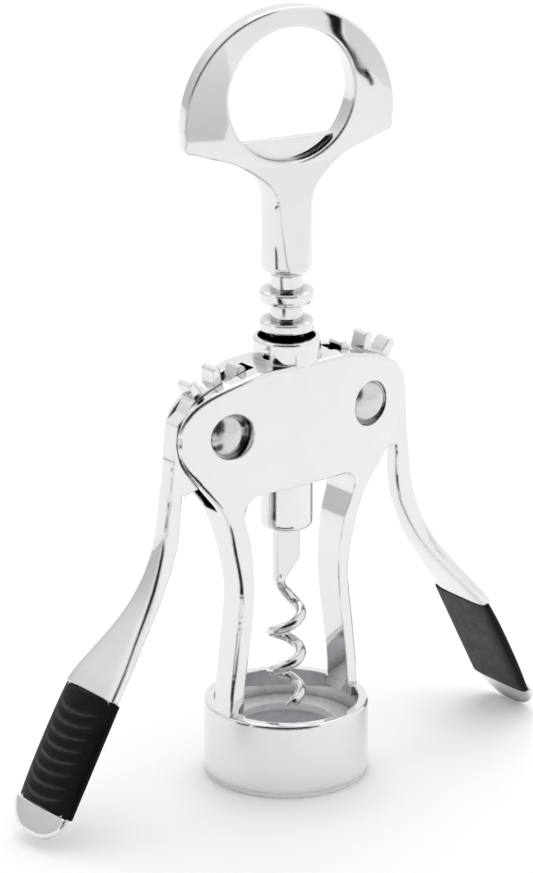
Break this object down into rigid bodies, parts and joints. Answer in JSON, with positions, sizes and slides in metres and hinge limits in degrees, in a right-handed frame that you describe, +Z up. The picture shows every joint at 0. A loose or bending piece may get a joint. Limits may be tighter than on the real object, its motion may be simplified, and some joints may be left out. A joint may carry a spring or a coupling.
{
  "type": "wing corkscrew",
  "caption": "Chromed double-lever corkscrew with a cap-lifter handle, ringed rack, open worm, bell ring and rubber-gripped wings that rise as the screw goes down.",
  "frame": {"origin": "centre of the bell ring on the surface the corkscrew stands on, which is the mouth of the bottle seat", "axes": "+Z up along the screw, towards the handle; the wings spread along X; -Y is the front"},
  "size_m": [0.1567, 0.042, 0.2005],
  "materials": {
    "chrome_casting": "polished chrome plate on a die casting",
    "worm_steel": "plated round wire",
    "rivet_steel": "plain bright steel",
    "seat_plastic": "moulded grey plastic, slightly translucent",
    "washer_plastic": "natural nylon",
    "grip_rubber": "satin black soft grip"
  },
  "bodies": {
    "frame": {"frame_casting": "chrome_casting", "bottle_seat": "seat_plastic", "left_pivot_post": "rivet_steel", "left_pivot_cap": "rivet_steel", "right_pivot_post": "rivet_steel", "right_pivot_cap": "rivet_steel"},
    "left_wing": {"left_lever": "chrome_casting", "left_grip": "grip_rubber"},
    "right_wing": {"right_lever": "chrome_casting", "right_grip": "grip_rubber"},
    "rack": {"rack_sleeve": "chrome_casting", "upper_washer": "washer_plastic", "lower_washer": "washer_plastic"},
    "screw": {"handle": "chrome_casting", "stem_pin": "rivet_steel", "spindle": "rivet_steel", "worm_hub": "chrome_casting", "hub_pin": "rivet_steel", "worm": "worm_steel"}
  },
  "joints": [
    {"name": "rack_slide", "type": "slide", "parent": "frame", "child": "rack", "axis": [0, 0, -1], "range_m": [-0.0057, 0.034]},
    {"name": "screw_spin", "type": "hinge", "parent": "rack", "child": "screw", "pos_m": [0, 0, 0.1], "axis": [0, 0, 1], "continuous": true},
    {"name": "left_wing_hinge", "type": "hinge", "parent": "frame", "child": "left_wing", "pos_m": [-0.0217, 0, 0.0959], "axis": [0, 1, 0], "range_deg": [-20.6, 122.38]},
    {"name": "right_wing_hinge", "type": "hinge", "parent": "frame", "child": "right_wing", "pos_m": [0.0217, 0, 0.0959], "axis": [0, -1, 0], "range_deg": [-20.6, 122.38]}
  ],
  "couplings": [
    {"joint": "left_wing_hinge", "follows": "rack_slide", "rad_per_m": 62.769},
    {"joint": "right_wing_hinge", "follows": "rack_slide", "rad_per_m": 62.769}
  ]
}
